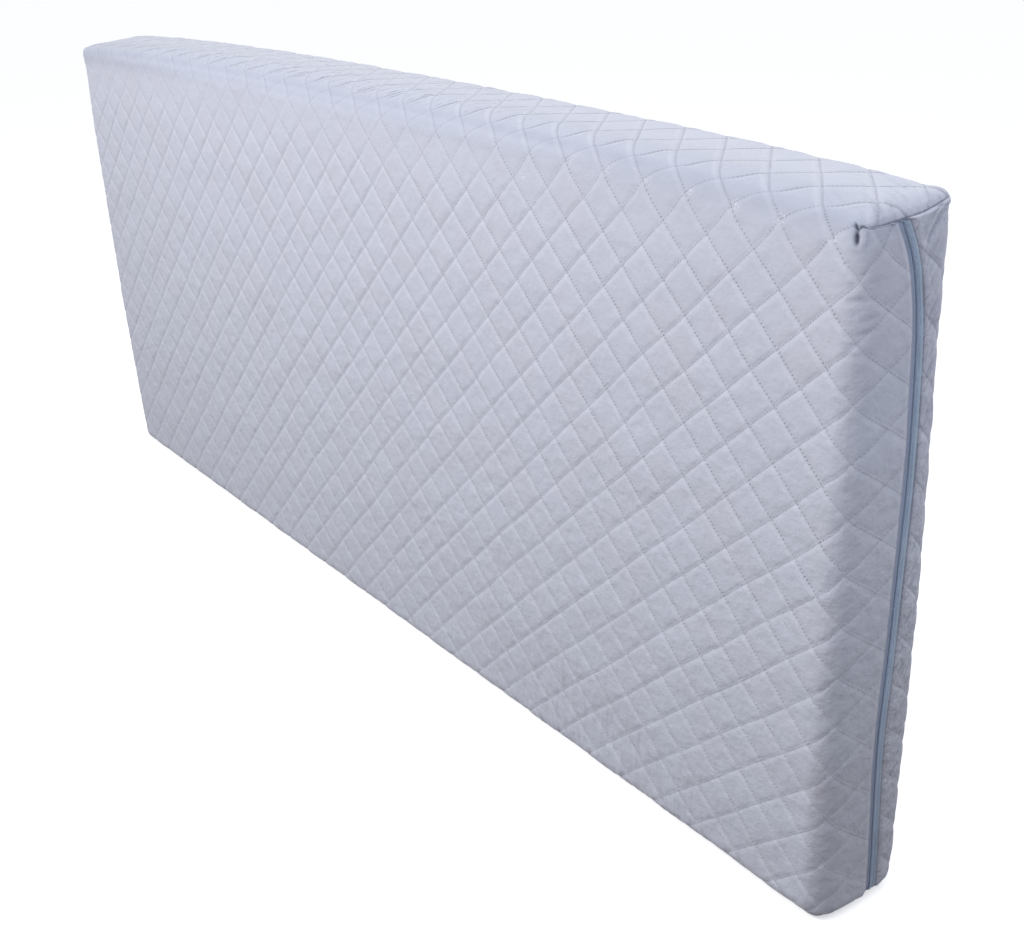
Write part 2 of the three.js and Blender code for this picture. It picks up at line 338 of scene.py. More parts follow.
def on_box(u, v):
    """Where a point of the cut cloth lies on the sharp-edged box."""
    body = [v < 0, v < TOP_FRONT, v < TOP_BACK, v < FOOT_BACK]
    x = np.clip(u, -HALF_LENGTH, HALF_LENGTH)
    y = np.select(
        body,
        [-HALF_DEPTH - v, -HALF_DEPTH, v - TOP_FRONT - HALF_DEPTH, HALF_DEPTH],
        HALF_DEPTH - (v - FOOT_BACK),
    )
    z = np.select(body, [0, v, HEIGHT, FOOT_BACK - v], 0)

    inward = np.abs(u) - HALF_LENGTH
    on_flap = inward > 0
    in_front = v < (TOP_FRONT + TOP_BACK) / 2
    z = np.where(on_flap, np.clip(np.where(in_front, v, FOOT_BACK - v), 0, HEIGHT), z)
    middle = np.where(u > 0, zip_middle(z), 0)
    gap = np.where(u > 0, zip_gap(z), 0)
    flap_length = HALF_DEPTH - np.where(u > 0, ZIP_HEM, 0)
    front_reach = (HALF_DEPTH + middle - gap - ZIP_ASIDE) / flap_length
    back_reach = (HALF_DEPTH - middle - gap + ZIP_ASIDE) / flap_length
    front_y = -HALF_DEPTH + inward * front_reach
    back_y = HALF_DEPTH - inward * back_reach
    y = np.where(on_flap, np.where(in_front, front_y, back_y), y)
    return np.stack([x, y, z], axis=1)


def rows_on_front(u, v):
    """How far the rows of the front stray along it and up it."""
    along = u / HALF_LENGTH
    height = np.clip(v / HEIGHT, 0, 1)
    on_right = smooth(u, *RIGHT_PART)
    lean = ROW_LEAN - ROW_LEAN_LOSS * (height - LEAN_HEIGHT) ** 2
    aside = ROW_ASIDE - ROW_BOW * along**2 + lean * along
    aside += ROW_ASIDE_LEFT * (smooth(-along, 0, 0.5) + 1 - smooth(u, -50 * MM, 200 * MM))
    aside -= ROW_ASIDE_RIGHT * on_right
    upward = -ROW_LOW - ROW_SAG * np.clip(height - LEAN_HEIGHT, 0, 1) ** 2
    upward += ROW_RISE_AT_TURN * bell(v, TOP_FRONT - 16 * MM, 16 * MM) * on_right
    return aside, upward


def rows_over_top(v):
    """How far the rows of the top and the back stray round the mattress."""
    down_back = np.clip(v - TOP_BACK, 0, None)
    backward = TOP_STRETCH * np.clip(v - TOP_FRONT, 0, DEPTH) - TOP_FORWARD
    return backward + BACK_SHIFT * smooth(down_back, 0, 90 * MM) - BACK_STRETCH * down_back


def rows_wander(u, v):
    """How far the stitched rows stray from an even net, along the cloth and round it."""
    front_u, front_v = rows_on_front(u, v)
    over = smooth(v, TOP_FRONT - 30 * MM, TOP_FRONT + 20 * MM)
    past = smooth(v, TOP_FRONT + 2 * MM, TOP_FRONT + 42 * MM)
    to_zip = np.clip(u - HALF_LENGTH - 3 * MM, 0, 1)
    strayed_u = front_u + (TOP_ASIDE - front_u) * over
    strayed_u += past * np.interp(u, SLIDE_CURVE[:, 0], SLIDE_CURVE[:, 1])
    strayed_u += ROW_WAVER * soft_noise(u, v, 170 * MM, 61)
    strayed_v = front_v + (rows_over_top(v) - front_v) * over
    strayed_v += to_zip * (END_SLANT_BACK * over - END_SLANT_FRONT * (1 - over))
    strayed_v -= TOP_FORWARD_LEFT * past * (1 - smooth(u, 0, 300 * MM))
    strayed_v += ROW_WAVER * soft_noise(u, v, 130 * MM, 62)
    return strayed_u, strayed_v


def lattice_at(u, v):
    """Counts the stitched lines at a point of the cloth: falling ones, rising ones."""
    strayed_u, strayed_v = rows_wander(u, v)
    across = (u - strayed_u - CROSSING_U) / DIAMOND_WIDTH
    upward = (v - strayed_v - CROSSING_V) / DIAMOND_HEIGHT
    return across + upward, across - upward


def cloth_place(falling, rising):
    """The point of the cloth at a count of stitched lines."""
    even_u = CROSSING_U + DIAMOND_WIDTH * (falling + rising) / 2
    even_v = CROSSING_V + DIAMOND_HEIGHT * (falling - rising) / 2
    u, v = even_u, even_v
    for _ in range(4):
        strayed_u, strayed_v = rows_wander(u, v)
        u = even_u + strayed_u
        v = even_v + strayed_v
    return u, v


def diamond_values(falling, rising, seed, low, high):
    """One steady random value for each diamond."""
    table = np.random.default_rng(seed).uniform(low, high, (128, 128))
    column = np.floor(falling).astype(int) % 128
    row = np.floor(rising).astype(int) % 128
    return table[column, row]


def soft_noise(u, v, size, seed):
    """Smooth noise between about -1 and 1, with lumps of a size."""
    draw = np.random.default_rng(seed)
    total = np.zeros_like(u)
    for _ in range(7):
        turn = draw.uniform(0, math.pi)
        stretch = draw.uniform(0.7, 1.5)
        phase = draw.uniform(0, 2 * math.pi)
        along = u * math.cos(turn) + v * math.sin(turn)
        total += np.sin(along * 2 * math.pi / (size * stretch) + phase)
    return total / 3.5


def line_distance(count):
    """Distance to the nearest stitched line, from a count of such lines."""
    return np.abs(count - np.round(count)) * DIAMOND_SIDE


def bell(value, middle, width):
    return np.exp(-(((value - middle) / width) ** 2))


def creases(across, along, spacing, length, seed):
    """Soft troughs about a spacing apart, each fading in and out along its length."""
    bend = 0.3 * spacing * soft_noise(across * 0.3, along, 2 * length, seed)
    place = (across + bend) / spacing
    row = np.round(place)
    table = np.random.default_rng(seed).uniform(-0.3, 0.3, 512)
    aside = (place - row - table[row.astype(int) % 512]) * spacing
    strength = np.clip(0.35 + 0.9 * soft_noise(row * spacing * 6.3, along, length, seed + 1), 0, 1)
    return strength * np.exp(-((aside / (0.21 * spacing)) ** 2))


def seam_distance(u, v):
    """Distance to the nearest sewn edge of the cloth."""
    inward = np.abs(u) - HALF_LENGTH
    on_flap = inward > 0
    end = np.where(u > 0, RIGHT_EDGE - u, u - LEFT_EDGE)
    front_flap = np.minimum(v, TOP_FRONT - v)
    back_flap = np.minimum(v - TOP_BACK, FOOT_BACK - v)
    flap_rim = np.where(v < (TOP_FRONT + TOP_BACK) / 2, front_flap, back_flap)
    flap = np.minimum(np.abs(end), np.abs(flap_rim))
    sewn_end = (v < 0) | (v > FOOT_BACK) | ((v > TOP_FRONT) & (v < TOP_BACK))
    body_end = np.where(sewn_end, -inward, 1)
    nearest_v = np.where(v < TOP_FRONT, np.abs(v - TOP_FRONT), np.abs(v - TOP_BACK))
    corner = np.hypot(inward, nearest_v)
    body_end = np.minimum(body_end, corner)
    body = np.minimum(body_end, np.minimum(v - UNDER_FRONT, UNDER_BACK - v))
    return np.clip(np.where(on_flap, flap, body), 0, 1)


def top_share(v):
    """1 on the narrow top of the mattress, 0 away from it."""
    return smooth(v, TOP_FRONT, TOP_FRONT + 16 * MM) * (1 - smooth(v, TOP_BACK - 6 * MM, TOP_BACK))


def under_share(v):
    """1 on the underside, 0 on the other sides."""
    return smooth(-v, 8 * MM, 24 * MM) + smooth(v - FOOT_BACK, 8 * MM, 24 * MM)


def front_flap_share(u, v):
    """1 on the taut cloth between the front corner and the zip."""
    return smooth(u, HALF_LENGTH - 20 * MM, HALF_LENGTH + 12 * MM) * (v < TOP_FRONT + 0.5 * DEPTH)


def back_flap_share(u, v):
    """1 on the slack cloth between the zip and the back corner."""
    return smooth(u, HALF_LENGTH - 10 * MM, HALF_LENGTH + 12 * MM) * (v > TOP_FRONT + 0.5 * DEPTH)


def quilt_lift(u, v):
    """Height of the padded cloth: a sharp crease on rising lines, a softer one on falling lines."""
    falling, rising = lattice_at(u, v)
    on_top = top_share(v)
    slack = back_flap_share(u, v)
    rising_width = (1.7 + 2 * slack) * MM
    falling_depth = 0.55 + 0.3 * smooth(u, -500 * MM, 100 * MM)
    falling_width = (2.3 + 1.6 * on_top + 1.4 * slack) * MM
    rising_crease = np.exp(-line_distance(rising) / rising_width)
    falling_crease = falling_depth * np.exp(-line_distance(falling) / falling_width)
    share_f = falling - np.floor(falling)
    share_r = rising - np.floor(rising)
    dome = 16 * share_f * (1 - share_f) * share_r * (1 - share_r)
    fullness = diamond_values(falling, rising, 5, 0.8, 1.1)
    pad = (1 - rising_crease) * (1 - falling_crease)
    swell = QUILT_RISE * pad * (0.85 + 0.15 * dome) * (1 - 0.45 * front_flap_share(u, v))
    swell += BACK_SWELL * slack * dome * pad
    return QUILT_BASE + swell * fullness * (1 - 0.7 * taut_share(u, v))


def taut_share(u, v):
    """Where the cloth is pulled so tight under the turn that the rows almost vanish."""
    past = v - TOP_FRONT - 22 * MM * (1 - smooth(u, 50 * MM, 350 * MM))
    band = smooth(v, TOP_FRONT - 95 * MM, TOP_FRONT - 45 * MM)
    band = band * (1 - smooth(past, -4 * MM, 14 * MM))
    return band * (1 - 0.45 * smooth(u, *RIGHT_PART)) * (1 - smooth(u, 700 * MM, 790 * MM))


def fold_share(v):
    """1 where the cloth turns softly over the upper front edge."""
    before = smooth(v, TOP_FRONT - 30 * MM, TOP_FRONT - 9 * MM)
    return before * (1 - smooth(v, TOP_FRONT + 4 * MM, TOP_FRONT + 28 * MM))


def fold_shade(v):
    """The shaded strip just under the turn."""
    past = v - TOP_FRONT + 8 * MM
    return np.exp(-((past / np.where(past < 0, 7 * MM, 13 * MM)) ** 2))


def turn_shade(u, v):
    """How much painted shade darkens the cloth over the turn."""
    places, shades = np.array(TURN_SHADE).T
    more = 0.65 * bell(v, TOP_FRONT - 23 * MM, 9 * MM)
    more = more * smooth(u, -800 * MM, -450 * MM) * (1 - smooth(u, *RIGHT_PART))
    return np.interp((v - TOP_FRONT) / MM, places, shades) + more


def pit_share(u, v):
    """The two small dark puckers where the end seam begins at the front corner."""
    aside = u - PIT[0]
    up = v - PIT[1]
    upper = bell(aside + 0.35 * up, 0, 1.5 * MM) * bell(up, 4 * MM, 3.4 * MM)
    lower = bell(aside + 0.1 * up, -0.6 * MM, 1.9 * MM) * bell(up, -5 * MM, 4.2 * MM)
    return np.clip(1.7 * np.maximum(upper, lower), 0, 1)


def pit_groove(u, v):
    """The end of the seam line, running on past the corner of the cut cloth to the puckers."""
    to_corner = np.array([HALF_LENGTH, TOP_FRONT]) - PIT
    length = np.hypot(*to_corner)
    along = np.clip(((u - PIT[0]) * to_corner[0] + (v - PIT[1]) * to_corner[1]) / length**2, 0, 1)
    aside = np.hypot(u - PIT[0] - along * to_corner[0], v - PIT[1] - along * to_corner[1])
    return np.exp(-((aside / (1.5 * MM)) ** 2))


def glint_share(u, v):
    """Painted highlights: where a few ends of thread glint at crossings of the rows."""
    shine = np.zeros_like(u)
    for middle_u, middle_v in GLINTS:
        far = np.hypot(u - middle_u * MM, v - middle_v * MM)
        shine = np.maximum(shine, bell(far, 0, GLINT_REACH))
    return GLINT_STRENGTH * shine


def foot_share(u, v):
    """Where the front is drawn into upright wrinkles above the floor."""
    along = smooth(u, 230 * MM, 380 * MM) * (1 - smooth(u, 600 * MM, 760 * MM))
    height = (70 + 110 * bell(u, 430 * MM, 170 * MM)) * MM
    return along * (1 - smooth(v, 0.35 * height, height)) * smooth(v, -10 * MM, 6 * MM)


def corner_fan_share(u, v):
    return bell(u, HALF_LENGTH - 2 * MM, 26 * MM) * bell(v, 628 * MM, 40 * MM)


def sweep_share(u, v):
    """Where the top is drawn into slanting creases beside the end seam."""
    return smooth(u, HALF_LENGTH - 75 * MM, HALF_LENGTH - 25 * MM) * top_share(v)


def corner_creases(u, v):
    """Fine creases below the puckers, beside the end seam and on the slack back flap."""
    fan = corner_fan_share(u, v) * creases(v - 0.2 * u, u, 9 * MM, 30 * MM, 31)
    sweep = sweep_share(u, v) * creases(v + 0.5 * u, u, 9 * MM, 45 * MM, 41)
    slack = back_flap_share(u, v) * smooth(RIGHT_EDGE - u, 2 * MM, 12 * MM)
    pleats = slack * creases(u - 1.06 * v, u + v, 13 * MM, 70 * MM, 51)
    return np.maximum(np.maximum(0.8 * fan, sweep), 1.3 * pleats)


def corner_peaks(u, v):
    """The cloth standing a little prouder at the corners where three sides meet."""
    back = bell(np.hypot(u - HALF_LENGTH, v - TOP_BACK), 0, 13 * MM) * (u > 0)
    front = bell(np.hypot(u + HALF_LENGTH, v - TOP_FRONT), 0, 22 * MM)
    foot = bell(u, RIGHT_EDGE, 36 * MM) * (bell(v, 0, 14 * MM) + bell(v, FOOT_BACK, 14 * MM))
    return CORNER_PEAK * (back + front + foot)


def cloth_lift(u, v):
    """Height of the cloth's face over the bottom of the stitched lines."""
    under = under_share(v)
    lift = quilt_lift(u, v)
    flattened = QUILT_BASE + UNDER_QUILT * (lift - QUILT_BASE) - PUFF
    lift += (flattened - lift) * under
    crisp = smooth(-u, 380 * MM, 700 * MM)
    lift -= (1 - crisp) * fold_share(v) * (FOLD_SINK + 0.75 * lift)
    lift += CRISP_RIDGE * crisp * bell(v, TOP_FRONT - 2 * MM, 7 * MM)
    lift -= FOOT_CREASE * foot_share(u, v) * creases(u + 0.15 * v, v, 13 * MM, 50 * MM, 21)
    lift -= CORNER_CREASE * corner_creases(u, v)
    seam = seam_distance(u, v)
    lift *= smooth(seam, -7 * MM, 9 * MM)
    lift -= SEAM_GROOVE * bell(seam, 0, 1.8 * MM)
    lift += HEM_RIDGE * bell(RIGHT_EDGE - u, 3 * MM, 3.6 * MM)
    lift += BROAD_WAVES * soft_noise(u, v, 120 * MM, 3) * (1 - under)
    lift += SMALL_WAVES * soft_noise(u, v, 26 * MM, 11) * (1 - under)
    lift += PIT_RIM * bell(np.hypot(u - PIT[0], v - PIT[1]), 9 * MM, 4.5 * MM)
    lift -= PIT_LINE * pit_groove(u, v) + PIT_DEPTH * pit_share(u, v)
    lift += corner_peaks(u, v)
    return np.maximum(lift, -DEEPEST)


def flat_net():
    """The cut cloth lying flat, its faces in rows along the stitched lines."""
    corners_u = np.array([LEFT_EDGE, LEFT_EDGE, RIGHT_EDGE, RIGHT_EDGE])
    corners_v = np.array([UNDER_FRONT, UNDER_BACK, UNDER_FRONT, UNDER_BACK])
    falling, rising = lattice_at(corners_u, corners_v)
    first_f, first_r = math.floor(falling.min()) - 1, math.floor(rising.min()) - 1
    count_f = math.ceil(falling.max()) + 1 - first_f
    count_r = math.ceil(rising.max()) + 1 - first_r
    bm = bmesh.new()
    bmesh.ops.create_grid(
        bm, x_segments=count_f * NET_STEPS, y_segments=count_r * NET_STEPS, size=0.5
    )
    net = bpy.data.meshes.new("flat_net")
    bm.to_mesh(net)
    points = read_points(net)
    counts = (points[:, :2] + 0.5) * [count_f, count_r]
    counts -= NET_CROWDING * np.sin(2 * math.pi * counts) / (2 * math.pi)
    u, v = cloth_place(counts[:, 0] + first_f, counts[:, 1] + first_r)
    write_points(net, np.stack([u, v, 0 * u], axis=1))
    bm.clear()
    bm.from_mesh(net)
    bpy.data.meshes.remove(net)
    return bm


def read_points(mesh):
    points = np.empty(len(mesh.vertices) * 3, np.float32)
    mesh.vertices.foreach_get("co", points)
    return points.reshape(-1, 3).astype(float)


def write_points(mesh, points):
    mesh.vertices.foreach_set("co", points.astype(np.float32).ravel())
    mesh.update()


def cut_along(bm, point, normal, faces=None, clear=False):
    """Cuts the flat cloth along a straight line, and drops what lies past it if asked."""
    if faces is None:
        parts = bm.verts[:] + bm.edges[:] + bm.faces[:]
    else:
        edges = {edge for face in faces for edge in face.edges}
        verts = {vert for face in faces for vert in face.verts}
        parts = list(verts) + list(edges) + list(faces)
    bmesh.ops.bisect_plane(
        bm, geom=parts, plane_co=point, plane_no=normal, dist=0.02 * MM, clear_outer=clear
    )


def faces_past(bm, distance, side=0):
    """The faces past a distance from the middle, at one end, or at both where side is 0."""
    faces = []
    for face in bm.faces:
        along = face.calc_center_median().x
        outward = along * side if side else abs(along)
        if outward > distance:
            faces.append(face)
    return faces


def cut_pattern(bm):
    """Trims the net to the outline that a maker cuts: a band with four end flaps."""
    upright = (1, 0, 0)
    level = (0, 1, 0)
    cut_along(bm, (LEFT_EDGE, 0, 0), (-1, 0, 0), clear=True)
    cut_along(bm, (RIGHT_EDGE, 0, 0), upright, clear=True)
    cut_along(bm, (0, UNDER_FRONT, 0), (0, -1, 0), clear=True)
    cut_along(bm, (0, UNDER_BACK, 0), level, clear=True)
    rim = HALF_LENGTH - END_BAND
    for v in (0, TOP_FRONT, TOP_BACK, FOOT_BACK):
        cut_along(bm, (0, v, 0), level, faces_past(bm, rim))
    for side in (-1, 1):
        cut_along(bm, (side * HALF_LENGTH, 0, 0), upright, faces_past(bm, rim, side))
    for beside in BESIDE_SEAM:
        for v in (TOP_FRONT - beside, TOP_BACK + beside):
            cut_along(bm, (0, v, 0), level, faces_past(bm, HALF_LENGTH - 1 * MM))
        for side in (-1, 1):
            cut_along(bm, (side * (HALF_LENGTH - beside), 0, 0), upright, faces_past(bm, rim, side))
    for beside in BESIDE_HEM:
        cut_along(bm, (RIGHT_EDGE - beside, 0, 0), upright, faces_past(bm, RIGHT_EDGE - HEM_BAND, 1))
    notches = []
    for face in faces_past(bm, HALF_LENGTH):
        v = face.calc_center_median().y
        if v < 0 or v > FOOT_BACK or TOP_FRONT < v < TOP_BACK:
            notches.append(face)
    bmesh.ops.delete(bm, geom=notches, context="FACES")


def refine_corner(bm):
    """Smaller faces where the cloth puckers beside the end seam."""
    for reach, cuts in ((34 * MM, 1), (15 * MM, 2)):
        near = set()
        for edge in bm.edges:
            middle = (edge.verts[0].co + edge.verts[1].co) / 2
            if math.hypot(middle.x - PIT[0], middle.y - PIT[1]) < reach:
                near.add(edge)
        bmesh.ops.subdivide_edges(bm, edges=list(near), cuts=cuts, use_grid_fill=True)


def turn_in(bm, edges, steps):
    """Turns an edge of the cloth in: each step goes outwards by one size and down by another."""
    for outward, down in steps:
        grown = bmesh.ops.extrude_edge_only(bm, edges=edges)["geom"]
        verts = [part for part in grown if isinstance(part, bmesh.types.BMVert)]
        edges = [part for part in grown if isinstance(part, bmesh.types.BMEdge)]
        bmesh.ops.translate(bm, verts=verts, vec=(outward, 0, -down))


def cover_cloth():
    """The whole cover as one mesh, and where each of its points lies on the flat cloth."""
    bm = flat_net()
    cut_pattern(bm)
    refine_corner(bm)
    rim = [edge for edge in bm.edges if edge.is_boundary]
    hem = [e for e in rim if min(v.co.x for v in e.verts) > RIGHT_EDGE - 0.1 * MM]
    hem_edges = set(hem)
    seams = [edge for edge in rim if edge not in hem_edges]
    turn_in(bm, hem, [(0.7 * MM, 0.5 * MM), (0.3 * MM, 0.6 * MM), (-6 * MM, 0.1 * MM)])
    turn_in(bm, seams, [(0, 1.5 * MM), (0, 4.5 * MM)])
    for face in bm.faces:
        face.smooth = True
    mesh = bpy.data.meshes.new("cover_cloth")
    bm.to_mesh(mesh)
    bm.free()

    flat = read_points(mesh)
    u, v, tuck = flat.T
    write_net_uv(mesh, *lattice_at(u, v))
    write_share(mesh, "top_share", top_share(v))
    write_share(mesh, "foot_share", foot_share(u, v))
    write_share(mesh, "fold", fold_shade(v))
    write_share(mesh, "turn", turn_shade(u, v))
    write_share(mesh, "slack", back_flap_share(u, v))
    write_share(mesh, "taut", taut_share(u, v))
    write_share(mesh, "crease", corner_creases(u, v))
    write_share(mesh, "glint", glint_share(u, v))
    write_share(mesh, "from_seam", seam_distance(u, v))
    write_share(mesh, "pit", np.maximum(pit_share(u, v), 0.55 * pit_groove(u, v)))
    placed = cover_point(on_box(u, v), cloth_lift(u, v) + tuck)
    placed[:, 2] = np.clip(placed[:, 2], 0, None)
    write_points(mesh, placed)
    return mesh, u, v


def write_share(mesh, name, values):
    layer = mesh.attributes.new(name, "FLOAT", "POINT")
    layer.data.foreach_set("value", values.astype(np.float32))


def write_net_uv(mesh, falling, rising):
    corners = np.empty(len(mesh.loops), np.int32)
    mesh.loops.foreach_get("vertex_index", corners)
    layer = mesh.uv_layers.new(name="stitched_lines")
    uv = np.stack([falling[corners], rising[corners]], axis=1)
    layer.uv.foreach_set("vector", uv.astype(np.float32).ravel())


def place_in_scene(name, mesh):
    piece = bpy.data.objects.new(name, mesh)
    bpy.context.scene.collection.objects.link(piece)
    return piece


def piece_numbers(u, v):
    """Which piece of the cover each point of the cloth belongs to, in the order of PIECES."""
    on_right = (u > 0).astype(int)
    return np.select([v < TOP_FRONT, v < TOP_BACK], [on_right, 2], 3 + on_right)


def face_means(mesh, values):
    """The mean of a value over the corners of each face."""
    starts = np.empty(len(mesh.polygons), np.int32)
    mesh.polygons.foreach_get("loop_start", starts)
    corners = np.empty(len(mesh.loops), np.int32)
    mesh.loops.foreach_get("vertex_index", corners)
    counts = np.diff(np.append(starts, len(corners)))
    return np.add.reduceat(values[corners], starts) / counts


def split_cloth(mesh, u, v):
    """Parts the cloth into lighter meshes that shade as one."""
    normals = np.empty(len(mesh.vertices) * 3, np.float32)
    mesh.vertex_normals.foreach_get("vector", normals)
    carried = mesh.attributes.new("shading", "FLOAT_VECTOR", "POINT")
    carried.data.foreach_set("vector", normals)
    numbers = piece_numbers(face_means(mesh, u), face_means(mesh, v))
    pieces = []
    for number, name in enumerate(PIECES):
        bm = bmesh.new()
        bm.from_mesh(mesh)
        gone = [face for face, other in zip(bm.faces, numbers != number) if other]
        bmesh.ops.delete(bm, geom=gone, context="FACES")
        part = bpy.data.meshes.new(name)
        bm.to_mesh(part)
        bm.free()
        kept = np.empty(len(part.vertices) * 3, np.float32)
        part.attributes["shading"].data.foreach_get("vector", kept)
        part.normals_split_custom_set_from_vertices(kept.reshape(-1, 3))
        part.attributes.remove(part.attributes["shading"])
        pieces.append(place_in_scene(name, part))
    return pieces


def zip_place(across, z, lift):
    """A point of the zip, from its distance beside the middle, its height and its lift."""
    end = np.full_like(z, HALF_LENGTH)
    placed = cover_point(np.stack([end, zip_middle(z), z], axis=1), lift)
    placed[:, 1] += across
    return placed


def bend_onto_zip(bm, name):
    """Bends a straight shape, made as lift, across and height, along the run of the zip."""
    mesh = bpy.data.meshes.new(name)
    bm.to_mesh(mesh)
    bm.free()
    lift, across, z = read_points(mesh).T
    sunk = ZIP_SINK_TOP * bell(z, HEIGHT, 7 * MM) - ZIP_RAISE_FOOT * bell(z, 0, 14 * MM)
    write_points(mesh, zip_place(across, np.clip(z, 0, HEIGHT), lift - sunk))
    return place_in_scene(name, mesh)


def turn_down(bm, edges, depth):
    grown = bmesh.ops.extrude_edge_only(bm, edges=edges)["geom"]
    verts = [part for part in grown if isinstance(part, bmesh.types.BMVert)]
    bmesh.ops.translate(bm, verts=verts, vec=(-depth, 0, 0))


def zip_tape(name, side, rib):
    """One woven half of the zip, with a rib beside the coil."""
    rise, place, width = rib
    bm = bmesh.new()
    bmesh.ops.create_grid(bm, x_segments=20, y_segments=230, size=0.5)
    for vert in bm.verts:
        across = TAPE_INNER + (TAPE_OUTER - TAPE_INNER) * (vert.co.x + 0.5)
        lift = TAPE_LIFT + rise * bell(across, place, width)
        vert.co = (lift, side * across, (vert.co.y + 0.5) * HEIGHT)
    rims = [edge for edge in bm.edges if edge.is_boundary]
    turn_down(bm, rims, TAPE_THICKNESS)
    bmesh.ops.recalc_face_normals(bm, faces=bm.faces)
    for face in bm.faces:
        face.smooth = True
    return bend_onto_zip(bm, name)


def coil_loop():
    """One loop of the coil, lying across the zip with its middle raised."""
    loop = bmesh.new()
    bmesh.ops.create_cube(loop, size=1)
    sizes = (COIL_THICKNESS, COIL_WIDTH * 0.86, 0.62 * COIL_PITCH)
    bmesh.ops.scale(loop, verts=loop.verts, vec=sizes)
    across = [edge for edge in loop.edges if abs(edge.verts[0].co.y - edge.verts[1].co.y) > MM]
    bmesh.ops.subdivide_edges(loop, edges=across, cuts=3)
    for vert in loop.verts:
        vert.co.x += COIL_CROWN * (1 - (2 * vert.co.y / COIL_WIDTH) ** 2)
    pattern = bpy.data.meshes.new("loop")
    loop.to_mesh(pattern)
    loop.free()
    return pattern


def zip_coil():
    """The coil: loops of nylon bent over from either side in turn, closed down the middle."""
    pattern = coil_loop()
    bm = bmesh.new()
    for step in range(int(HEIGHT / COIL_PITCH)):
        start = len(bm.verts)
        bm.from_mesh(pattern)
        bm.verts.ensure_lookup_table()
        aside = 0.07 * COIL_WIDTH * (1 if step % 2 else -1)
        move = (TAPE_LIFT + COIL_RAISE, aside + COIL_ASIDE, (step + 0.5) * COIL_PITCH)
        bmesh.ops.translate(bm, verts=bm.verts[start:], vec=move)
    bpy.data.meshes.remove(pattern)
    for face in bm.faces:
        face.smooth = True
    return bend_onto_zip(bm, "zip_coil_loops")


# Colours, as light rather than as screen values
LAVENDER_LIGHT = (0.60, 0.622, 0.722)
LAVENDER_DARK = (0.545, 0.562, 0.656)
LAVENDER_WARM = (0.565, 0.552, 0.645)
# Painted highlight: the lit side of the puffs and thread that catches the light
PAINTED_HIGHLIGHT = (0.72, 0.735, 0.82)
# Painted shade in the needle holes, along the stitched lines, in seams and in creases
PAINTED_RECESS_SHADE = (0.26, 0.27, 0.36)
FOLD_SHADE = (0.37, 0.40, 0.50)
# Painted glint: light caught on thread
PAINTED_GLINT = (0.95, 0.95, 0.97)
LOW_SHADE = (0.30, 0.285, 0.315)
FRONT_TAPE = ((0.36, 0.42, 0.56), (0.48, 0.54, 0.70))
# The back tape is the same tape painted lighter: painted light where it catches more of the lamps
BACK_TAPE_PAINTED_LIGHTER = ((0.50, 0.62, 0.75), (0.63, 0.74, 0.87))
COIL_LIGHT = (0.42, 0.51, 0.66)
COIL_DARK = (0.33, 0.42, 0.57)
ZIP_LOW = (0.15, 0.18, 0.25)
PIT_SHADE = (0.07, 0.075, 0.12)
FOAM_PALE = (0.85, 0.8, 0.66)
FOAM_DARK = (0.697, 0.656, 0.5412)


class Wire:
    """A socket of a material's nodes, so that sums on it are written as sums."""

    def __init__(self, tree, socket=None):
        self.tree = tree
        self.socket = socket

    def node(self, kind, settings=None, inputs=None, output=0):
        node = self.tree.nodes.new(kind)
        for name, value in (settings or {}).items():
            setattr(node, name, value)
        for key, value in (inputs or {}).items():
            if isinstance(value, Wire):
                self.tree.links.new(value.socket, node.inputs[key])
            else:
                node.inputs[key].default_value = value
        return Wire(self.tree, node.outputs[output])

    def math(self, operation, *others):
        inputs = dict(enumerate((self, *others)))
        return self.node("ShaderNodeMath", {"operation": operation}, inputs)

    def __add__(self, other):
        return self.math("ADD", other)

    def __sub__(self, other):
        return self.math("SUBTRACT", other)

    def __rsub__(self, other):
        return (self * -1) + other

    def __mul__(self, other):
        return self.math("MULTIPLY", other)

    def __truediv__(self, other):
        return self.math("DIVIDE", other)

    def __pow__(self, other):
        return self.math("POWER", other)

    __radd__ = __add__
    __rmul__ = __mul__

    def to_line(self):
        """Distance to the nearest whole number."""
        return self.math("PINGPONG", 0.5)

    def below(self, low, high):
        """1 under low, falling softly to 0 at high."""
        inputs = {"Value": self, "From Min": low, "From Max": high, "To Min": 1.0, "To Max": 0.0}
        return self.node("ShaderNodeMapRange", {"interpolation_type": "SMOOTHSTEP"}, inputs)

    def noise(self, scale, detail=2.0, roughness=0.5):
        inputs = {"Vector": self, "Scale": scale, "Detail": detail, "Roughness": roughness}
        return self.node("ShaderNodeTexNoise", None, inputs)

    def part(self, number):
        """One of the three numbers of a place or a direction."""
        return self.node("ShaderNodeSeparateXYZ", None, {0: self}, number)

    def share(self, name):
        """A number that the mesh carries at each of its points."""
        settings = {"attribute_name": name, "attribute_type": "GEOMETRY"}
        return self.node("ShaderNodeAttribute", settings, output=2)

    def stretched(self, sizes):
        inputs = {"Vector": self, "Scale": sizes}
        return self.node("ShaderNodeMapping", None, inputs)

    def mix(self, factor, first, second):
        """One colour turning into another by a factor; None stands for this colour."""
        settings = {"data_type": "RGBA", "blend_type": "MIX"}
        inputs = {0: factor, 6: self if first is None else (*first, 1), 7: (*second, 1)}
        return self.node("ShaderNodeMix", settings, inputs, 2)


def new_finish(name, settings):
    """A material with its shader, whose even values are set on the shader's own sockets."""
    material = bpy.data.materials.new(name)
    material.use_nodes = True
    tree = material.node_tree
    shader = tree.nodes["Principled BSDF"]
    for key, value in settings.items():
        shader.inputs[key].default_value = value
    return material, Wire(tree), shader


def feed(shader, key, wire):
    shader.id_data.links.new(wire.socket, shader.inputs[key])


def bump(wire, height, distance, strength=1.0):
    inputs = {"Height": height, "Distance": distance, "Strength": strength}
    return wire.node("ShaderNodeBump", None, inputs)


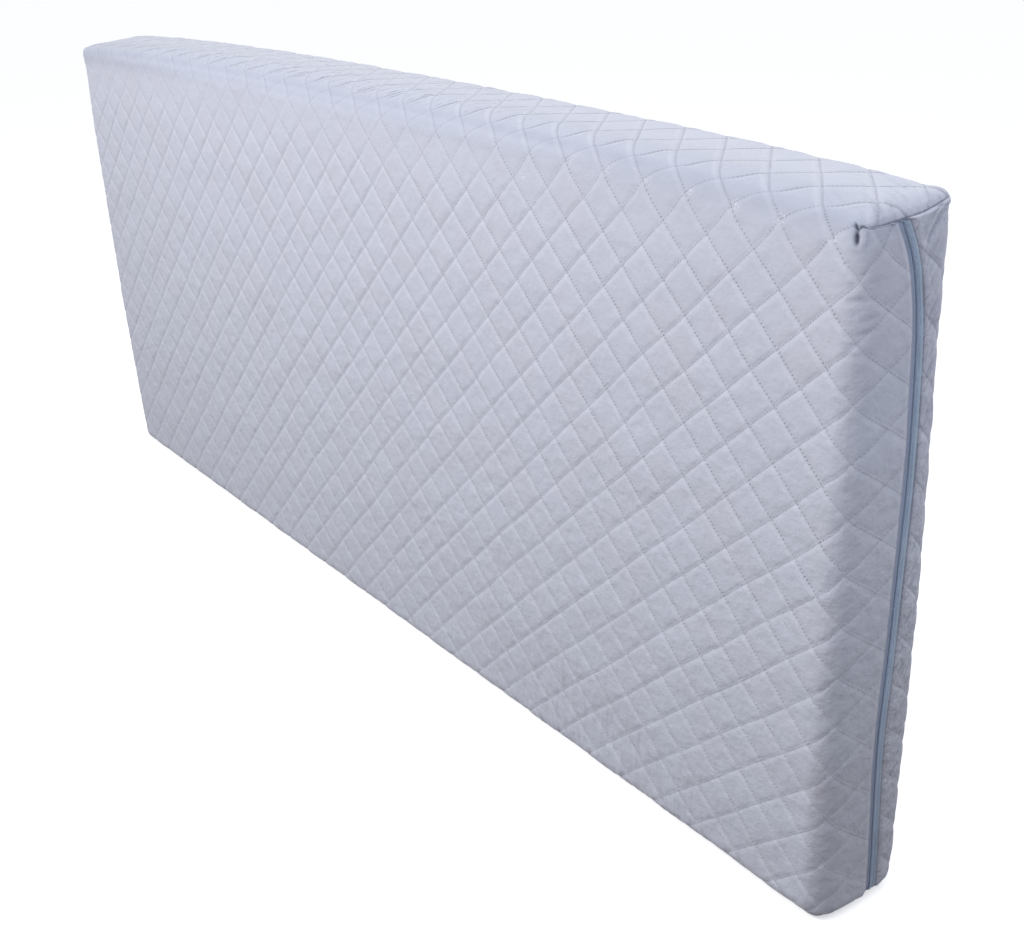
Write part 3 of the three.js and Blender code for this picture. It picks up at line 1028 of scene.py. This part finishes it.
def read_cloth(wire):
    """What the colour and the relief of the cloth both read; distances are in millimetres."""
    at = SimpleNamespace()
    at.side = DIAMOND_SIDE / MM
    at.place = wire.node("ShaderNodeTexCoord", output=3)
    at.along = at.place.part(0)
    at.height = at.place.part(2)
    at.low = at.height.below(0.1, 0.45)
    at.body = at.along.below(HALF_LENGTH - 25 * MM, HALF_LENGTH - 5 * MM) * 0.5 + 0.5
    at.on_top = wire.share("top_share")
    at.slack = wire.share("slack")
    at.from_seam = wire.share("from_seam") / MM
    at.mottle = at.place.noise(26.0, 3.0, 0.6)
    at.blotch = at.place.noise(110.0, 3.0, 0.6)
    at.nap = at.place.noise(420.0, 3.0, 0.7)
    counts = wire.node("ShaderNodeUVMap", {"uv_map": "stitched_lines"})
    at.falling = counts.part(0)
    at.rising = counts.part(1)
    wobble = at.place.noise(160.0, 1.0, 0.5) - 0.5
    at.sewn_falling = at.falling + wobble * 0.03
    at.sewn_rising = at.rising + wobble * 0.02
    at.from_falling = at.sewn_falling.to_line() * at.side
    at.from_rising = at.sewn_rising.to_line() * at.side
    at.holes = needle_holes(at)
    return at


def needle_holes(at):
    """Needle holes on both sets of lines, plainer in some stretches than in others."""
    stitch = at.side / STITCHES_PER_SIDE
    along_falling = (at.rising * STITCHES_PER_SIDE).to_line() * (2 * stitch)
    along_rising = (at.falling * STITCHES_PER_SIDE).to_line() * (2 * stitch)
    on_falling = hole_row(at.from_falling, along_falling) * 1.3
    on_rising = hole_row(at.from_rising, along_rising)
    uneven = at.place.noise(70.0, 2.0, 0.6)
    return on_falling.math("MAXIMUM", on_rising) * (uneven * 1.6 - 0.1) * at.body


def hole_row(across, along):
    """A row of needle holes, from the distances in millimetres across it and along it."""
    reach = (across * across + along * along * 1.1) ** 0.5
    return reach.below(0.4, 1.35)


def quilted_colour(wire, at):
    """Mottled lavender grey, with painted highlights below the lines and painted shade in the
    stitches, seams, creases, turns and low on the ends.
    """
    loose = wire.share("taut") * -0.7 + 1
    tint = at.place.noise(14.0, 2.0, 0.5)
    mottled = at.mottle * 0.4 + at.blotch * 0.35 + at.nap * 0.25
    cloth = at.place.mix(mottled, LAVENDER_DARK, LAVENDER_LIGHT)
    cloth = cloth.mix(tint.below(0.35, 0.65) * 0.3, None, LAVENDER_WARM)
    # Painted shade under and over the turn of the upper front edge
    cloth = cloth.mix(wire.share("fold") * (at.mottle + 0.1) * 0.85, None, FOLD_SHADE)
    cloth = cloth.mix(wire.share("turn") * 0.34, None, FOLD_SHADE)
    below_falling = (0.5 - (at.sewn_falling + 0.5).math("FRACT")) * at.side
    below_rising = at.sewn_rising.math("FRACT") * at.side
    # Painted highlight: paler strips just below the falling and rising lines, where the puffs face
    # the light
    edge = (below_falling - 4.5).math("ABSOLUTE").below(0.0, 4.0)
    edge = edge + (below_rising - 4.0).math("ABSOLUTE").below(0.0, 3.6) * 0.6
    cloth = cloth.mix(edge * loose * 0.22, None, PAINTED_HIGHLIGHT)
    # Painted shade in the needle holes
    cloth = cloth.mix(at.holes * loose * 0.62, None, PAINTED_RECESS_SHADE)
    # Painted shade along the stitched lines
    lines = at.from_rising.below(0.0, 1.8) * (at.on_top * 0.2 + 0.12)
    lines = lines + at.from_falling.below(0.0, 2.2) * (at.on_top * 0.08 + 0.05 - at.low * 0.05)
    cloth = cloth.mix(lines * loose, None, PAINTED_RECESS_SHADE)
    # Painted highlight: the falling lines low on the front, paler where the thread catches the light
    cloth = cloth.mix(at.from_falling.below(0.6, 2.6) * at.low * 0.22, None, PAINTED_HIGHLIGHT)
    # Painted shade in the seam grooves, the creases and along the slack back flap's lines
    cloth = cloth.mix(at.from_seam.below(0.3, 1.7) * 0.7, None, PAINTED_RECESS_SHADE)
    cloth = cloth.mix(wire.share("crease") * 0.3, None, PAINTED_RECESS_SHADE)
    cloth = cloth.mix(at.from_falling.below(0.5, 3.0) * at.slack * 0.3, None, PAINTED_RECESS_SHADE)
    cloth = cloth.mix((1 - at.body) * 2 * at.low * 0.3, None, LOW_SHADE)
    cloth = cloth.mix(wire.share("pit") * 0.92, None, PIT_SHADE)
    # Painted glints: white specks where light catches the thread
    specks = 1 - at.place.noise(950.0, 0.0, 0.5).below(0.63, 0.7)
    return cloth.mix(specks * wire.share("glint"), None, PAINTED_GLINT)


def quilted_relief(wire, at):
    """Height in millimetres of what is finer than the mesh: nap, crinkles, lines and holes."""
    crumple = at.place.noise(85.0, 3.0, 0.6)
    dents = at.place.noise(38.0, 2.0, 0.5)
    upright = at.place.stretched((80.0, 80.0, 16.0)).noise(1.0, 2.0, 0.5)
    lower = at.height.below(0.25, 0.72)
    near_falling = at.from_falling.below(1.0, 5.0)
    relief = (at.nap * 0.2 + crumple * (at.slack * 2 + 1.7) + dents * 2.2) * (lower * 0.5 + 0.55)
    groove = at.on_top * (1 - near_falling) * 0.9 + 0.15
    relief = relief - at.from_rising.below(0.0, 2.0) * groove
    relief = relief - at.from_falling.below(0.0, 1.8) * 0.2 - at.holes * 0.45
    relief = relief + upright * (wire.share("foot_share") * 3 + at.low * 0.8 + 0.3)
    wrinkle = (at.rising * 3 + at.mottle * 0.9).to_line() * (at.side / 3)
    wrinkles = wrinkle.below(0.0, 1.5) * (at.blotch * 3.4 - 1.2).math("MAXIMUM", 0.0)
    gathered = at.along.below(0.15, 0.5) * 0.65 + 0.35
    wrinkled = at.on_top * gathered * 1.15 + at.slack * 0.8
    relief = relief - wrinkles * wrinkled * (1 - near_falling)
    return relief - at.from_seam.below(0.0, 1.5) * 0.5


def quilted_finish():
    """Brushed microfibre in a pale lavender grey, sewn through in small stitches."""
    material, wire, shader = new_finish(
        "quilted_microfibre",
        {"Roughness": 0.9, "Sheen Weight": 0.2, "Sheen Roughness": 0.6, "Specular IOR Level": 0.2},
    )
    at = read_cloth(wire)
    feed(shader, "Base Color", quilted_colour(wire, at))
    feed(shader, "Normal", bump(wire, quilted_relief(wire, at), MM))
    return material


def foam_finish():
    """Cut foam: one pale colour, slightly mottled, with a fine grain."""
    material, wire, shader = new_finish("cut_foam", {"Roughness": 0.95, "Specular IOR Level": 0.3})
    place = wire.node("ShaderNodeTexCoord", output=3)
    feed(shader, "Base Color", place.mix(place.noise(50.0, 3.0, 0.6), FOAM_PALE, FOAM_DARK))
    feed(shader, "Normal", bump(wire, place.noise(400.0, 2.0, 0.6), 0.5 * MM, 0.5))
    return material


def shaded_low(colour, place):
    """The colour of the zip, darker towards the floor."""
    return colour.mix(place.part(2).below(0.0, 0.45) * 0.4, None, ZIP_LOW)


def tape_finish(name, shades):
    """Woven tape: fine ribs up it, crossed by finer weft."""
    material, wire, shader = new_finish(name, {"Roughness": 0.75})
    place = wire.node("ShaderNodeTexCoord", output=3)
    across = place.part(1)
    ribs = (across / (1.1 * MM)).to_line() * 2
    weft = ((place.part(2) + across * 0.6) / (0.7 * MM)).to_line() * 2
    worn = place.noise(60.0, 3.0, 0.6)
    colour = place.mix(worn * 0.5 + weft * 0.4, *shades)
    feed(shader, "Base Color", shaded_low(colour, place))
    feed(shader, "Normal", bump(wire, ribs * 0.18 + weft * 0.14, MM))
    return material


def coil_finish():
    """Smooth nylon, unevenly worn."""
    material, wire, shader = new_finish("zip_coil_nylon", {"Roughness": 0.42})
    place = wire.node("ShaderNodeTexCoord", output=3)
    colour = place.mix(place.noise(300.0, 3.0, 0.6), COIL_DARK, COIL_LIGHT)
    feed(shader, "Base Color", shaded_low(colour, place))
    feed(shader, "Normal", bump(wire, place.noise(1500.0, 2.0, 0.5), 0.1 * MM, 0.6))
    return material


def dress(piece, material):
    piece.data.materials.clear()
    piece.data.materials.append(material)


# The pale room, its floor, and its lamps: place, what each is aimed at, size, watts, colour
SKY = (0.60, 0.617, 0.638)
GROUND = (0.11, 0.105, 0.115)
FLOOR_PAINT = (0.9, 0.9, 0.91, 1)
FLOOR_GLOW = 0.45
LAMPS = {
    "front": ((-0.15, -1.3, 1.4), (-0.15, 0, 0.45), (2.6, 0.5), 25.2, (1, 1, 1)),
    "behind": ((0.1, 1.3, 1.8), (-0.1, 0, 0.6), (2.0, 0.5), 5.8, (1, 0.99, 0.96)),
    "end": ((1.6, 0.1, 1.05), (0.8, 0, 0.6), (0.5, 0.5), 1.55, (0.86, 0.97, 1.2)),
    "corner": ((1.3, 1.5, 0.9), (0.8, 0.06, 0.4), (0.4, 0.8), 4.8, (1, 1, 1)),
}


def add_light(name, place, aim, size, power, colour):
    light = bpy.data.lights.new(name, "AREA")
    light.shape = "RECTANGLE"
    light.size, light.size_y = size
    light.energy = power
    light.color = colour
    lamp = bpy.data.objects.new(name, light)
    lamp.location = place
    lamp.rotation_euler = (Vector(place) - Vector(aim)).to_track_quat("Z", "Y").to_euler()
    bpy.context.scene.collection.objects.link(lamp)


def add_floor():
    """A pale floor that takes the shadow but throws no light back up."""
    bm = bmesh.new()
    bmesh.ops.create_grid(bm, x_segments=1, y_segments=1, size=14)
    mesh = bpy.data.meshes.new("pale_floor")
    bm.to_mesh(mesh)
    bm.free()
    floor = place_in_scene("pale_floor", mesh)
    floor.visible_diffuse = False
    settings = {
        "Base Color": FLOOR_PAINT,
        "Roughness": 0.9,
        "Emission Color": (1, 1, 1, 1),
        "Emission Strength": FLOOR_GLOW,
    }
    mesh.materials.append(new_finish("floor_paint", settings)[0])


# The camera stands where the photograph was taken from; its picture is measured in pixels
CAMERA_PLACE = Vector((1.4658, -0.8609, 0.9528))
CAMERA_AIM = Vector((0.2025, 0.005, 0.215))
CAMERA_ROLL = math.radians(-3.08)
FOCAL_PIXELS = 1386.1
PICTURE = (1024, 951)
OPTICAL_MIDDLE = (491.4, 501.6)
SENSOR = 36.0


def add_camera():
    data = bpy.data.cameras.new("camera")
    data.sensor_width = SENSOR
    data.lens = FOCAL_PIXELS / PICTURE[0] * SENSOR
    data.shift_x = (PICTURE[0] / 2 - OPTICAL_MIDDLE[0]) / PICTURE[0]
    data.shift_y = (OPTICAL_MIDDLE[1] - PICTURE[1] / 2) / PICTURE[0]
    camera = bpy.data.objects.new("camera", data)
    look = (CAMERA_PLACE - CAMERA_AIM).to_track_quat("Z", "Y").to_matrix().to_4x4()
    roll = Matrix.Rotation(CAMERA_ROLL, 4, "Z")
    camera.matrix_world = Matrix.Translation(CAMERA_PLACE) @ look @ roll
    bpy.context.scene.collection.objects.link(camera)
    bpy.context.scene.camera = camera


def light_scene():
    """Even light from a pale room, with lamps before the front, behind the top and by the zip."""
    world = bpy.data.worlds.new("studio")
    world.use_nodes = True
    direction = Wire(world.node_tree).node("ShaderNodeTexCoord")
    room = direction.mix(direction.part(2).below(-0.5, 0.6), SKY, GROUND)
    sky = world.node_tree.nodes["Background"]
    world.node_tree.links.new(room.socket, sky.inputs["Color"])
    bpy.context.scene.world = world
    bpy.context.scene.view_settings.view_transform = "Standard"
    for name, lamp in LAMPS.items():
        add_light(name, *lamp)


def make_cover():
    cloth = quilted_finish()
    mesh, u, v = cover_cloth()
    pieces = split_cloth(mesh, u, v)
    bpy.data.meshes.remove(mesh)
    for piece, (width, length, area) in zip(pieces, PIECES.values()):
        dress(piece, cloth)
        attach(piece, "root")
        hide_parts("quilted_cover")


def make_zip():
    front = ("front", -1, FRONT_RIB, FRONT_TAPE)
    back = ("back", 1, BACK_RIB, BACK_TAPE_PAINTED_LIGHTER)
    for half, side, rib, shades in (front, back):
        strip = zip_tape(f"woven_tape_{half}", side, rib)
        dress(strip, tape_finish(f"{half}_tape_weave", shades))
        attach(strip, "root")
        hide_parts(f"zip_tape_{half}")
    coil = zip_coil()
    dress(coil, coil_finish())
    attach(coil, "root")
    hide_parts("zip_coil")


def main():
    add_camera()
    light_scene()
    add_floor()
    make_cover()
    make_zip()
    dress(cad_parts["mattress"], foam_finish())


main()
